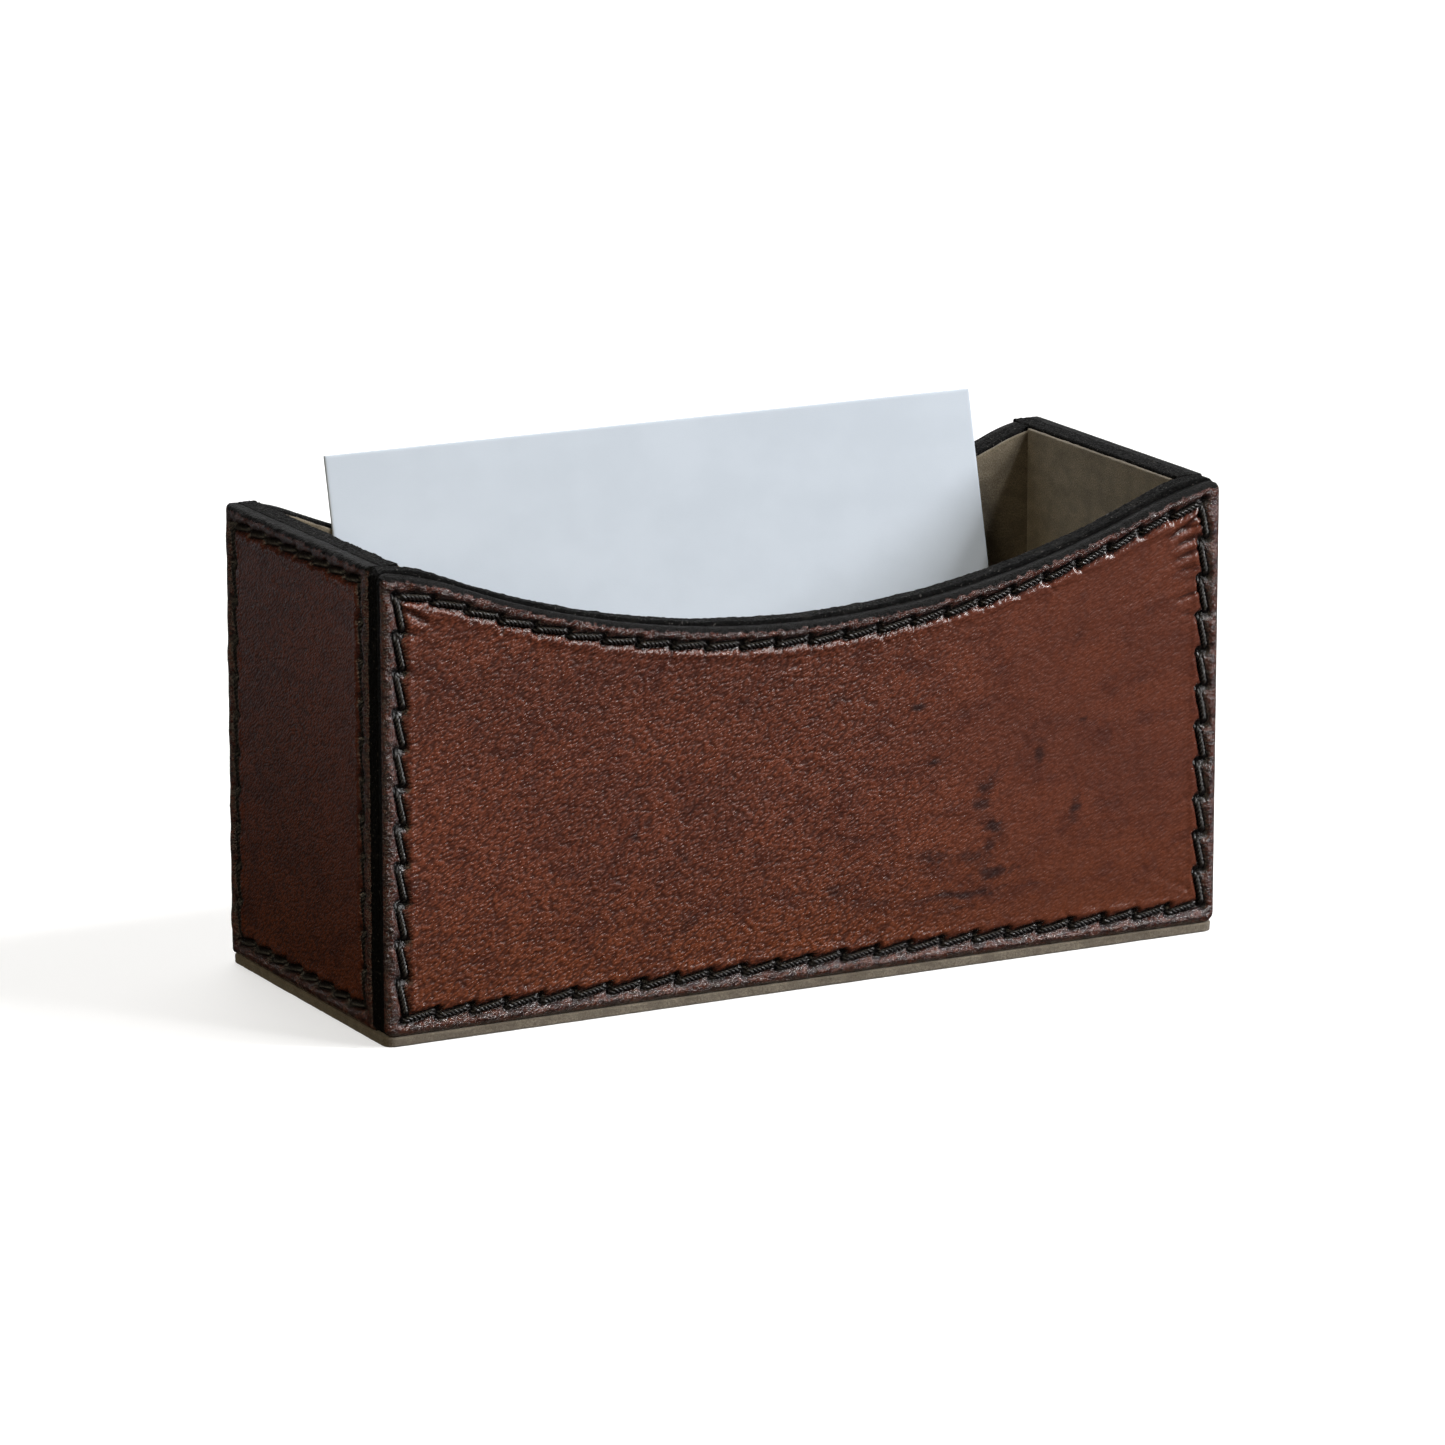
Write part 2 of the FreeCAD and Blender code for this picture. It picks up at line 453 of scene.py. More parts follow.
def crease_relief(u, v, creases):
    """Valleys along segments, each with a soft ridge on both sides, fading towards its end."""
    relief = np.zeros(u.shape)
    for u0, v0, u1, v1, width, depth in creases:
        reach, share = segment_distance(u, v, np.array([u0, v0]), np.array([u1, v1]))
        fade = 1 - share ** 3
        relief -= depth * fade * bell(reach, 0, width)
        relief += 0.5 * depth * fade * bell(reach, 2.0 * width, width)
    return relief


def gathers(wall, generator):
    """Short creases that run from the holes to both sides, where the thread has pulled."""
    starts, _, slant = wall.stitches()
    creases = []
    for hole, into in zip(starts, slant / np.linalg.norm(slant, axis=1)[:, None]):
        for side, longest, deepest in ((-1, 1.5, 0.2), (1, 2.4, 0.17)):
            direction = side * into + generator.uniform(-0.9, 0.5) * np.array([into[1], -into[0]])
            length = generator.uniform(0.5, 1) * longest
            tip = hole + length * direction / np.linalg.norm(direction)
            depth = generator.uniform(0.2, 1) * deepest
            start = hole + side * 0.3 * into
            creases.append((*start, *tip, generator.uniform(0.2, 0.34), depth))
    return creases


def face_relief(u, v, edge, seed):
    """Slow swells away from the edge, and small lumps everywhere."""
    swells = 0.05 * plane_noise(u, v, 9.0, 9.0, seed + 2) * smooth_step(edge, 2, 8)
    return swells + 0.02 * plane_noise(u, v, 2.6, 2.6, seed + 3)


def hem_relief(u, v, distances, edge, lift, seed):
    """The leather puffs up on both sides of the stitches, most at the foot, and is wrinkled."""
    side, foot, rim = distances
    along_side = plane_noise(u, v - 0.5 * u, 1.6, 0.5, seed)
    along_end = plane_noise(u - 0.8 * v, v, 0.5, 1.6, seed + 1)
    wrinkle = np.abs(np.where(side < np.minimum(foot, rim), along_side, along_end))
    puff = 1 + 0.8 * smooth_step(np.minimum(side, rim) - foot, -0.5, 0.5)
    outer = puff * bell(edge, 0.95, 0.55) * (0.14 + 0.2 * lift)
    inner = bell(edge, 3.2, 0.5) * (0.04 + 0.1 * lift)
    return outer + inner - wrinkle * (0.15 * bell(edge, 1.2, 0.7) + 0.08 * bell(edge, 2.9, 0.5))


def leather_relief(wall, u, v, seed, creases=()):
    """Height of the leather's face over the CAD face, and the distances that its dye follows."""
    generator = np.random.RandomState(seed)
    side, foot, rim = wall.distances(u, v)
    edge = np.clip(soft_min(side, np.minimum(foot, rim), 0.4), 0, None)
    pulls = generator.uniform(0.4, 1.35, MOST_STITCHES)
    stitch, slit, lift = seam_field(wall, u, v, pulls)
    folds = crease_relief(u, v, list(creases) + gathers(wall, generator))
    relief = face_relief(u, v, edge, seed) + folds
    relief += hem_relief(u, v, (side, foot, rim), edge, lift, seed)
    relief -= 0.55 * (1 - smooth_step(stitch, 0.12, 0.9))
    relief -= 0.5 * bell(slit, 0, 0.28)
    roll = np.clip(HEM_ROUND - edge, 0, None)
    relief += np.sqrt(np.clip(HEM_ROUND ** 2 - roll ** 2, 0, None)) - HEM_ROUND
    dyed = np.minimum.reduce([side - SIDE_DYE, foot - FOOT_DYE, rim - RIM_DYE])
    # The creases' depth is kept for the painted shade in their valleys
    values = {"edge": edge, "seam": np.minimum(stitch, slit), "dye": dyed, "crease_shade": -folds}
    return np.clip(relief, LOWEST_RELIEF, HIGHEST_RELIEF), values


def stain_field(u, v, stains, seed):
    """How dark each point is from old stains, 0 to 1: soft blots and streaks, torn by noise."""
    field = np.zeros(u.shape)
    tear = 0.35 * plane_noise(u, v, 1.3, 0.9, seed) + 0.3 * plane_noise(u, v, 0.5, 0.4, seed + 1)
    tear += 0.4 * plane_noise(u, v - 0.12 * u, 2.4, 0.28, seed + 2)
    for at_u, at_v, long, wide, turn, strength in stains:
        cosine, sine = math.cos(math.radians(turn)), math.sin(math.radians(turn))
        along = ((u - at_u) * cosine + (v - at_v) * sine) / long
        across = ((v - at_v) * cosine - (u - at_u) * sine) / wide
        reach = np.hypot(along, across)
        field = np.maximum(field, strength * smooth_step(1.35 - reach + tear, 0, 1.5))
    return field


# Stains on the front: across, up, half length, half width, turn in degrees, strength
FRONT_STAINS = (
    (13.8, 31.5, 1.6, 0.45, 2, 0.95),
    (17.4, 31.4, 1.0, 0.4, 30, 0.45),
    (15.7, 24.8, 1.3, 0.55, 0, 1.0),
    (22.9, 21.2, 2.2, 1.1, 30, 0.8),
    (22.2, 19.2, 1.7, 1.3, -40, 0.75),
    (24.0, 16.3, 2.3, 1.3, -50, 0.9),
    (23.2, 14.0, 2.0, 1.0, 60, 0.7),
    (24.4, 23.0, 1.4, 0.3, 60, 0.6),
    (30.0, 24.4, 2.2, 0.9, 84, 0.75),
    (34.7, 17.2, 2.6, 1.0, 76, 0.8),
    (31.5, 27.8, 2.8, 1.6, 10, 0.35),
    (35.8, 27.7, 0.6, 0.5, 0, 0.7),
    (24.2, 10.8, 3.4, 0.9, 3, 0.9),
    (21.0, 12.9, 5.0, 1.2, -4, 0.6),
    (15.4, 13.6, 3.2, 1.6, -10, 0.7),
    (19.0, 8.6, 8.5, 0.8, 1, 0.8),
    (30.0, 8.7, 4.0, 0.3, -3, 0.55),
    (19.5, 7.1, 5.0, 0.6, 3, 0.6),
    (8.2, 8.9, 3.4, 0.8, 4, 0.5),
    (2.9, 11.2, 1.9, 1.1, -28, 0.55),
    (5.6, 17.0, 4.2, 0.7, -8, 0.4),
    (3.8, 33.6, 1.6, 1.1, 20, 0.4),
    (34.0, 38.0, 5.0, 2.8, 10, 0.3),
    (44.0, 20.0, 4.0, 2.0, -40, 0.25),
    (-22.8, 20.8, 0.9, 0.7, 0, 0.7),
    (-16.6, 17.8, 1.6, 0.6, -42, 0.6),
    (-16.0, 23.0, 2.6, 1.3, 15, 0.45),
    (-16.5, 9.6, 2.6, 1.8, 40, 0.55),
    (-18.6, 7.4, 1.0, 0.6, 0, 0.5),
    (-29.0, 36.8, 4.0, 1.3, -15, 0.35),
    (-37.0, 33.0, 2.0, 1.6, 0, 0.4),
    (-27.0, 27.4, 4.6, 1.4, -30, 0.3),
)

# Creases on the front: start and end, then width and depth
FRONT_CREASES = (
    (51.4, 50.4, 46.6, 47.6, 0.34, 0.3),
    (51.4, 49.2, 47.8, 48.6, 0.26, 0.26),
    (51.4, 48.0, 47.6, 47.0, 0.34, 0.3),
    (51.4, 46.4, 46.8, 45.0, 0.32, 0.26),
    (51.2, 44.2, 48.0, 44.0, 0.3, 0.2),
    (51.2, 41.4, 47.4, 40.4, 0.32, 0.2),
    (51.0, 38.6, 48.2, 38.9, 0.26, 0.15),
    (50.4, 34.6, 47.6, 34.1, 0.22, 0.07),
    (50.4, 17.0, 47.2, 15.4, 0.26, 0.09),
    (50.2, 5.6, 43.6, 9.0, 0.3, 0.08),
    (40.4, 40.6, 49.0, 42.4, 0.28, 0.06),
    (-51.4, 25.0, -46.2, 17.8, 0.22, 0.06),
    (-20.0, 21.0, -13.6, 14.4, 0.12, 0.05),
    (-8.0, 35.2, 3.6, 38.6, 0.35, 0.06),
    (-6.0, 37.6, 1.0, 38.9, 0.3, 0.05),
    (-7.0, 21.2, 11.6, 23.4, 0.35, 0.05),
    (2.0, 27.4, 9.6, 30.6, 0.3, 0.045),
    (-51.0, 49.8, -47.4, 47.6, 0.36, 0.24),
    (-51.2, 47.4, -48.6, 46.6, 0.3, 0.18),
    (-52.9, 52.7, -52.0, 52.9, 0.5, -0.22),
    (-50.2, 53.0, -48.8, 52.3, 0.5, -0.2),
    (-47.4, 51.9, -46.0, 51.2, 0.45, -0.16),
)


# ---- Threads ----

def thread_lines(wall, generator):
    """Each stitch's middle line from hole to hole, two axes square to it, and its distances."""
    starts, ends, slant = wall.stitches()
    starts, ends = starts - slant, ends + slant
    count = len(starts)
    t = np.linspace(-0.03, 1.03, THREAD_STEPS)
    from_middle = 2 * t - 1
    along = ends - starts
    length = np.linalg.norm(along, axis=1)[:, None]
    forward = along / length
    beside = np.column_stack([-forward[:, 1], forward[:, 0]])[:, None]
    bow = generator.uniform(-0.08, 0.08, count)[:, None] * np.sin(math.pi * t)
    flat = starts[:, None] + along[:, None] * t[:, None] + beside * bow[..., None]
    sink = generator.uniform(-0.06, 0.05, count)[:, None]
    dive = THREAD_DIVE * smooth_step(np.abs(from_middle), 0.66, 1.06)
    height = THREAD_LEVEL + sink - 0.08 * from_middle ** 2 - dive
    middle = np.concatenate([flat, height[..., None]], axis=2)
    side_axis = np.concatenate([beside, np.zeros((count, 1, 1))], axis=2)
    climb = np.gradient(height, axis=1) * (THREAD_STEPS - 1) / length
    level = np.broadcast_to(forward[:, None], flat.shape)
    tangent = np.concatenate([level, climb[..., None]], axis=2)
    tangent /= np.linalg.norm(tangent, axis=2)[..., None]
    return middle, side_axis, np.cross(tangent, side_axis), t * length


def round_direction(angle, side_axis, up_axis):
    """Unit vectors at an angle round a line, from its side axis towards its up axis."""
    return np.cos(angle)[..., None] * side_axis + np.sin(angle)[..., None] * up_axis


def tube_faces(tubes):
    """Faces of capped tubes, each of THREAD_STEPS rings of STRAND_SIDES points."""
    shape = tubes, THREAD_STEPS, STRAND_SIDES
    index = np.arange(math.prod(shape)).reshape(shape)
    turned = np.roll(index, -1, axis=2)
    quads = np.stack([index[:, :-1], turned[:, :-1], turned[:, 1:], index[:, 1:]], axis=-1)
    return quads.reshape(-1, 4).tolist() + index[:, 0, ::-1].tolist() + index[:, -1].tolist()


def make_thread(name, wall, replaced, seed):
    """Twisted strands for every stitch, diving into the holes at both ends."""
    generator = np.random.RandomState(seed)
    middle, side_axis, up_axis, distance = thread_lines(wall, generator)
    count = len(middle)
    phase = generator.uniform(0, 2 * math.pi, count)[:, None]
    twist = phase + 2 * math.pi * distance / TWIST_PITCH
    around = np.arange(STRAND_SIDES) * 2 * math.pi / STRAND_SIDES
    points, fibres = [], []
    for strand in range(STRANDS):
        angle = twist + strand * 2 * math.pi / STRANDS
        core = middle + STRAND_OFFSET * round_direction(angle, side_axis, up_axis)
        tube = around + angle[..., None]
        ring = round_direction(tube, side_axis[:, :, None], up_axis[:, :, None])
        points.append(core[:, :, None] + STRAND_RADIUS * ring)
        fibre = np.empty((*tube.shape, 3))
        fibre[..., 0] = distance[..., None]
        fibre[..., 1] = 0.3 * around
        # Every strand reads its own slice of the material's noise
        fibre[..., 2] = 8.0 * strand + 21.0 * np.arange(count)[:, None, None]
        fibres.append(fibre)
    points = np.stack(points, axis=1).reshape(-1, 3)
    fibres = np.stack(fibres, axis=1).reshape(-1, 3)
    return make_object(name, wall.to_world(*points.T), tube_faces(count * STRANDS), "thread",
                       replaced, values={"flat": fibres})


# ---- Procedural materials ----

class Surface:
    """A material whose nodes are added one by one and feed its Principled shader.

    Its patterns follow the mesh's "flat" attribute: the place on the wall laid flat, or along
    the strand, in millimetres.
    """

    def __init__(self, name):
        self.material = bpy.data.materials.new(name)
        self.material.use_nodes = True
        self.tree = self.material.node_tree
        self.shader = self.tree.nodes["Principled BSDF"]
        self.place = self.attribute("flat", "Vector")

    def plug(self, socket, value):
        if isinstance(value, bpy.types.NodeSocket):
            self.tree.links.new(value, socket)
        else:
            socket.default_value = value

    def add(self, kind, inputs, **settings):
        node = self.tree.nodes.new(kind)
        for key, value in settings.items():
            setattr(node, key, value)
        for key, value in inputs.items():
            self.plug(node.inputs[key], value)
        return node

    def finish(self, **inputs):
        for key, value in inputs.items():
            self.plug(self.shader.inputs[key.replace("_", " ")], value)
        return self.material

    def attribute(self, name, output="Fac"):
        return self.add("ShaderNodeAttribute", {}, attribute_name=name).outputs[output]

    def stretched(self, cell, turn=0.0):
        """The place in cells of three sizes, turned about the wall's normal."""
        turned = self.add("ShaderNodeVectorRotate", {"Vector": self.place, "Angle": turn})
        scale = tuple(1 / side for side in cell)
        inputs = {0: turned.outputs[0], 1: scale}
        return self.add("ShaderNodeVectorMath", inputs, operation="MULTIPLY").outputs[0]

    def noise(self, cell, detail=3.0, turn=0.0, roughness=0.5):
        place = self.stretched(cell, turn)
        inputs = {"Vector": place, "Scale": 1.0, "Detail": detail, "Roughness": roughness}
        return self.add("ShaderNodeTexNoise", inputs).outputs[0]

    def cells(self, cell, turn=0.0):
        inputs = {"Vector": self.stretched(cell, turn), "Scale": 1.0}
        return self.add("ShaderNodeTexVoronoi", inputs, feature="SMOOTH_F1").outputs["Distance"]

    def math(self, operation, a, b=0.0):
        return self.add("ShaderNodeMath", {0: a, 1: b}, operation=operation).outputs[0]

    def remap(self, value, low, high, to_low=0.0, to_high=1.0):
        inputs = {"Value": value, "From Min": low, "From Max": high, "To Min": to_low, "To Max": to_high}
        return self.add("ShaderNodeMapRange", inputs, interpolation_type="SMOOTHSTEP").outputs[0]

    def mix(self, factor, a, b):
        """Two colours mixed; the node's colour sockets come after those of its other types."""
        node = self.add("ShaderNodeMix", {0: factor, 6: a, 7: b}, data_type="RGBA")
        return node.outputs[2]

    def bump(self, height, depth, under=None):
        """Bump from a height of 0 to 1 that stands for a depth in millimetres."""
        inputs = {"Height": height, "Strength": 1.0, "Distance": depth * MM}
        if under is not None:
            inputs["Normal"] = under
        return self.add("ShaderNodeBump", inputs).outputs[0]


def tone(red, green, blue):
    """An opaque colour."""
    return red, green, blue, 1.0


def aged_brown(s, grain, pebble):
    """Brown, warmer at the foot, with dark patches, pits between the pebbles and stains, and painted shade
    in the valleys of the creases.
    """
    spot = s.add("ShaderNodeSeparateXYZ", {0: s.place})
    colour = s.mix(s.remap(s.noise((15, 11, 15), 4.0), 0.3, 0.7),
                   tone(0.142, 0.039, 0.021), tone(0.19, 0.05, 0.024))
    warm = s.remap(spot.outputs["Y"], 2.0, 22.0, 0.6, 0.0)
    colour = s.mix(warm, colour, tone(0.185, 0.046, 0.013))
    patches = s.remap(s.noise((4.5, 3.2, 4.5), 5.0, roughness=0.6), 0.46, 0.72, 0.0, 0.65)
    colour = s.mix(patches, colour, tone(0.07, 0.018, 0.012))
    worn = s.remap(grain, 0.4, 1.0, 0.34, 0.0)
    colour = s.mix(worn, colour, tone(0.075, 0.025, 0.0185))
    pit = s.math("MULTIPLY", s.remap(pebble, 0.22, 0.66, 0.0, 0.75), grain)
    colour = s.mix(pit, colour, tone(0.032, 0.0095, 0.0068))
    stain = s.remap(s.attribute("stain"), 0.0, 0.9, 0.0, 0.88)
    colour = s.mix(stain, colour, tone(0.024, 0.011, 0.0105))
    # Painted shade: darker in the valleys of the creases and gathers, where shade falls
    crease_shade = s.remap(s.attribute("crease_shade"), 0.02, 0.16, 0.0, 0.75)
    return s.mix(crease_shade, colour, tone(0.022, 0.007, 0.006))


def edge_darkened(s, colour, edge_wave, hem, seam_wave, dyed):
    """A colour that darkens over the hem, in the seam and where the edge dye has run."""
    colour = s.mix(s.remap(edge_wave, 1.2, 4.0, 0.5, 0.0), colour, tone(0.058, 0.017, 0.015))
    rubbed = s.math("MULTIPLY", hem, s.remap(s.noise((1.3, 0.8, 1.3), 4.0, roughness=0.65), 0.42, 0.6))
    colour = s.mix(s.math("MULTIPLY", rubbed, 0.8), colour, tone(0.022, 0.011, 0.011))
    colour = s.mix(s.remap(seam_wave, 0.35, 0.75, 1.0, 0.0), colour, tone(0.008, 0.006, 0.006))
    return s.mix(dyed, colour, tone(0.005, 0.0048, 0.0048))


def wavering(s, distance, pattern, most):
    """A distance that a pattern moves to and fro by up to so many millimetres."""
    return s.math("ADD", distance, s.remap(pattern, 0.3, 0.7, -most, most))


def leather_material():
    s = Surface("waxed leather")
    edge = s.attribute("edge")
    pebble = s.cells((0.53, 0.22, 0.4), GRAIN_TURN)
    fine = s.noise((0.36, 0.12, 0.2), 3.0, GRAIN_TURN)
    # The grain has worn flat towards the right
    spot = s.add("ShaderNodeSeparateXYZ", {0: s.place})
    grain = s.remap(spot.outputs["X"], 0.0, 36.0, 1.0, 0.4)
    hem = s.remap(edge, 1.7, 2.6, 1.0, 0.0)
    edge_wave = wavering(s, edge, s.noise((1.4, 1.4, 1.4)), 0.3)
    seam_wave = wavering(s, s.attribute("seam"), fine, 0.15)
    dye_wave = wavering(s, s.attribute("dye"), s.noise((0.9, 0.9, 0.9)), 0.2)
    dyed = s.remap(dye_wave, 0.0, 0.2, 1.0, 0.0)
    colour = edge_darkened(s, aged_brown(s, grain, pebble), edge_wave, hem, seam_wave, dyed)
    rough = s.remap(s.noise((1.1, 1.1, 1.1), 4.0), 0.3, 0.7, 0.26, 0.4)
    rough = s.math("SUBTRACT", rough, s.remap(edge_wave, 2.2, 4.5, 0.13, 0.0))
    rough = s.math("ADD", rough, s.math("MULTIPLY", dyed, 0.3))
    normal = s.bump(s.math("MULTIPLY", s.math("SUBTRACT", 1.0, pebble), grain), 0.17)
    normal = s.bump(s.math("MULTIPLY", fine, grain), 0.08, normal)
    crinkle = s.noise((0.5, 0.5, 0.5), 4.0, roughness=0.65)
    normal = s.bump(s.math("MULTIPLY", crinkle, hem), 0.34, normal)
    specular = s.math("SUBTRACT", 0.5, s.math("MULTIPLY", dyed, 0.4))
    wax = s.math("MULTIPLY", hem, s.remap(dye_wave, 0.1, 0.5))
    return s.finish(Base_Color=colour, Roughness=rough, Normal=normal, Specular_IOR_Level=specular,
                    Coat_Weight=wax, Coat_Roughness=0.13, Coat_Normal=normal)


def board_material():
    s = Surface("black dyed board")
    fibre = s.noise((1.2, 0.22, 0.22), 5.0, roughness=0.7)
    fluff = s.noise((0.3, 0.3, 0.3), 4.0, roughness=0.7)
    colour = s.mix(s.remap(fluff, 0.35, 0.75), tone(0.002, 0.002, 0.0022), tone(0.009, 0.009, 0.0088))
    colour = s.mix(s.remap(s.noise((3, 3, 3), 4.0), 0.58, 0.75, 0.0, 0.4), colour, tone(0.03, 0.028, 0.025))
    lint = s.noise((0.34, 0.34, 0.34), 2.0)
    colour = s.mix(s.remap(lint, 0.64, 0.7, 0.0, 0.7), colour, tone(0.1, 0.095, 0.09))
    normal = s.bump(fibre, 0.12)
    return s.finish(Base_Color=colour, Roughness=s.remap(fluff, 0.3, 0.7, 0.9, 0.5),
                    Normal=s.bump(fluff, 0.22, normal), Specular_IOR_Level=0.06)


def suede_material(name, dark, light):
    s = Surface(name)
    nap = s.noise((0.2, 0.2, 0.2), 4.0, roughness=0.75)
    brushed = s.noise((2.6, 1.8, 2.6), 5.0, roughness=0.65)
    colour = s.mix(s.remap(nap, 0.3, 0.72), dark, light)
    colour = s.mix(s.remap(brushed, 0.35, 0.68, 0.0, 0.75), colour, dark)
    return s.finish(Base_Color=colour, Roughness=s.remap(nap, 0.3, 0.7, 1.0, 0.85),
                    Normal=s.bump(nap, 0.12), Specular_IOR_Level=0.15,
                    Sheen_Weight=0.25, Sheen_Roughness=0.5)


def thread_material():
    s = Surface("waxed black thread")
    fibre = s.noise((1.2, 0.07, 1.0), 3.0)
    dust_and_glints = s.noise((0.8, 0.3, 1.0), 3.0)
    # Lighter specks: partly dust, partly painted glints on the twisted ply
    colour = s.mix(s.remap(dust_and_glints, 0.45, 0.75), tone(0.009, 0.008, 0.008), tone(0.034, 0.026, 0.023))
    return s.finish(Base_Color=colour, Roughness=s.remap(fibre, 0.3, 0.7, 0.2, 0.4),
                    Normal=s.bump(fibre, 0.04), Specular_IOR_Level=0.7)


def card_material():
    s = Surface("uncoated card")
    fibre = s.noise((0.5, 0.12, 0.3), 4.0, roughness=0.7)
    cloud = s.noise((9, 7, 9), 3.0)
    colour = s.mix(s.remap(cloud, 0.3, 0.7), tone(0.485, 0.54, 0.612), tone(0.512, 0.568, 0.642))
    colour = s.mix(s.remap(fibre, 0.6, 0.9, 0.0, 0.25), colour, tone(0.41, 0.455, 0.518))
    return s.finish(Base_Color=colour, Roughness=s.remap(fibre, 0.3, 0.7, 0.6, 0.75),
                    Normal=s.bump(fibre, 0.012), Specular_IOR_Level=0.35)


MATERIALS = {
    "leather": leather_material(),
    "dyed_board": board_material(),
    "suede_lining": suede_material("tan suede", tone(0.095, 0.078, 0.053), tone(0.25, 0.207, 0.145)),
    "suede_pad": suede_material("taupe suede", tone(0.13, 0.105, 0.08), tone(0.3, 0.26, 0.2)),
    "thread": thread_material(),
    "card_stock": card_material(),
}


# ---- The holder's pieces ----

def outer_walls():
    """The four outer walls: how each stands in the frame, seen from outside."""
    side_y = (low_of("left_leather")[1] + high_of("left_leather")[1]) / 2
    side_half = size_of("left_leather")[1] / 2
    foot, top = PAD, HEIGHT
    return {
        "front": Wall((0, -DEPTH / 2, 0), (1, 0, 0), WIDTH / 2, foot, top, FRONT_SCOOP, CORNER_RADIUS),
        "right": Wall((WIDTH / 2, side_y, 0), (0, 1, 0), side_half, foot, top),
        "back": Wall((0, DEPTH / 2, 0), (-1, 0, 0), ROOM_HALF_WIDTH, foot, top, BACK_SCOOP),
        "left": Wall((-WIDTH / 2, side_y, 0), (0, -1, 0), side_half, foot, top),
    }


def lining_walls():
    """The four lined walls, seen from inside the room."""
    foot, top = FLOOR_TOP, HEIGHT - LINING_DROP
    side_half = ROOM_HALF_DEPTH - LINING
    front_scoop, back_scoop = ((lowest - LINING_DROP, blend)
                               for lowest, blend in (FRONT_BOARD_SCOOP, BACK_SCOOP))
    front_y, back_y = WALL - DEPTH / 2, DEPTH / 2 - WALL
    return {
        "front": Wall((0, front_y, 0), (-1, 0, 0), ROOM_HALF_WIDTH, foot, top, front_scoop),
        "right": Wall((WIDTH / 2 - WALL, 0, 0), (0, -1, 0), side_half, foot, top),
        "back": Wall((0, back_y, 0), (1, 0, 0), ROOM_HALF_WIDTH, foot, top, back_scoop),
        "left": Wall((WALL - WIDTH / 2, 0, 0), (0, 1, 0), side_half, foot, top),
    }


def make_leather(side, wall, seed):
    """One wall's leather: its relief on a fine grid, and a cut edge that is rough below it."""
    step = 0.26
    u, v = wall_grid(wall, step, 1.8 * step)
    creases = FRONT_CREASES if side == "front" else ()
    relief, values = leather_relief(wall, u, v, seed, creases)
    values["stain"] = stain_field(u, v, FRONT_STAINS if side == "front" else (), seed)
    u, v = round_corners(wall, u, v)
    levels = [(0.62, 0.0), (0.8, 0.0), (1.0, 0.0), (1.25, 0.02), (LEATHER, 0.06)]
    make_sheet(side + "_leather_skin", wall, u, v, relief, levels, "leather",
               side + "_leather", 0.03, seed, values=values)


def make_board(side, wall, seed):
    """One wall's board, whose fluffy cut edge is what shows; the front has its own scoop."""
    if side == "front":
        wall = copy.copy(wall)
        wall.scoop = FRONT_BOARD_SCOOP
    u, v = round_corners(wall, *wall_grid(wall, 0.3, 0.3))
    near, far = LEATHER, SHELL
    levels = [(near, 0.5), (near, 0.12), (near + 0.06, 0.03)]
    levels += [(depth, 0.0) for depth in np.arange(near + 0.2, far - 0.15, EDGE_STEP)]
    levels += [(far - 0.1, 0.03), (far, 0.14), (far, 0.5)]
    make_sheet(side + "_board_core", wall, u, v, None, levels, "dyed_board",
               side + "_board", 0.085, seed)


def make_lining(side, wall, seed):
    """One wall's suede, a little wavy, with its edge rolled over."""
    u, v = wall_grid(wall, 0.5, 0.6, 1.5, 0.15, LINING_ROUND)
    gap = np.minimum.reduce(wall.distances(u, v))
    roll = np.clip(LINING_ROUND - gap, 0, None)
    relief = np.sqrt(np.clip(LINING_ROUND ** 2 - roll ** 2, 0, None)) - LINING_ROUND
    relief += 0.04 * plane_noise(u, v, 6.0, 4.0, seed) * smooth_step(gap, 0.2, 3)
    relief += 0.02 * plane_noise(u, v, 0.7, 0.7, seed + 1)
    levels = [(0.25, -0.02), (0.35, 0.0), (LINING, 0.04)]
    make_sheet(side + "_suede_lining", wall, u, v, relief, levels, "suede_lining",
               side + "_lining", 0.05, seed)


def make_floor_lining():
    """The suede on the room's floor, with low lumps."""
    depth = size_of("floor_lining")[2]
    wall = Wall((0, 0, FLOOR_TOP), (1, 0, 0), ROOM_HALF_WIDTH, -ROOM_HALF_DEPTH, ROOM_HALF_DEPTH,
                upward=(0, 1, 0))
    u, v = wall_grid(wall, 0.6, 0.6, 1.5, 0.3, 0.1)
    relief = 0.03 * plane_noise(u, v, 7.0, 5.0, 61) + 0.015 * plane_noise(u, v, 0.7, 0.7, 62) - 0.03
    make_sheet("floor_suede_lining", wall, u, v, relief, [(depth, 0.0)], "suede_lining",
               "floor_lining", 0.0, 61)


def make_base_pad():
    """The suede pad that the holder stands on."""
    wall = Wall((0, 0, PAD), (1, 0, 0), WIDTH / 2, -DEPTH / 2, DEPTH / 2,
                corner=PAD_CORNER_RADIUS, upward=(0, 1, 0))
    u, v = round_corners(wall, *wall_grid(wall, 0.35, 0.35, 1.5, 0.3, 0.2))
    levels = [(0, 1.0), (0.0, 0.1), (0.1, 0.0)]
    levels += [(depth, 0.0) for depth in np.arange(0.25, PAD - 0.15, EDGE_STEP)]
    levels += [(PAD - 0.06, 0.04), (PAD, 0.16), (PAD, 1.0)]
    make_sheet("suede_base_pad", wall, u, v, None, levels, "suede_pad", "base_pad", 0.045, 71)


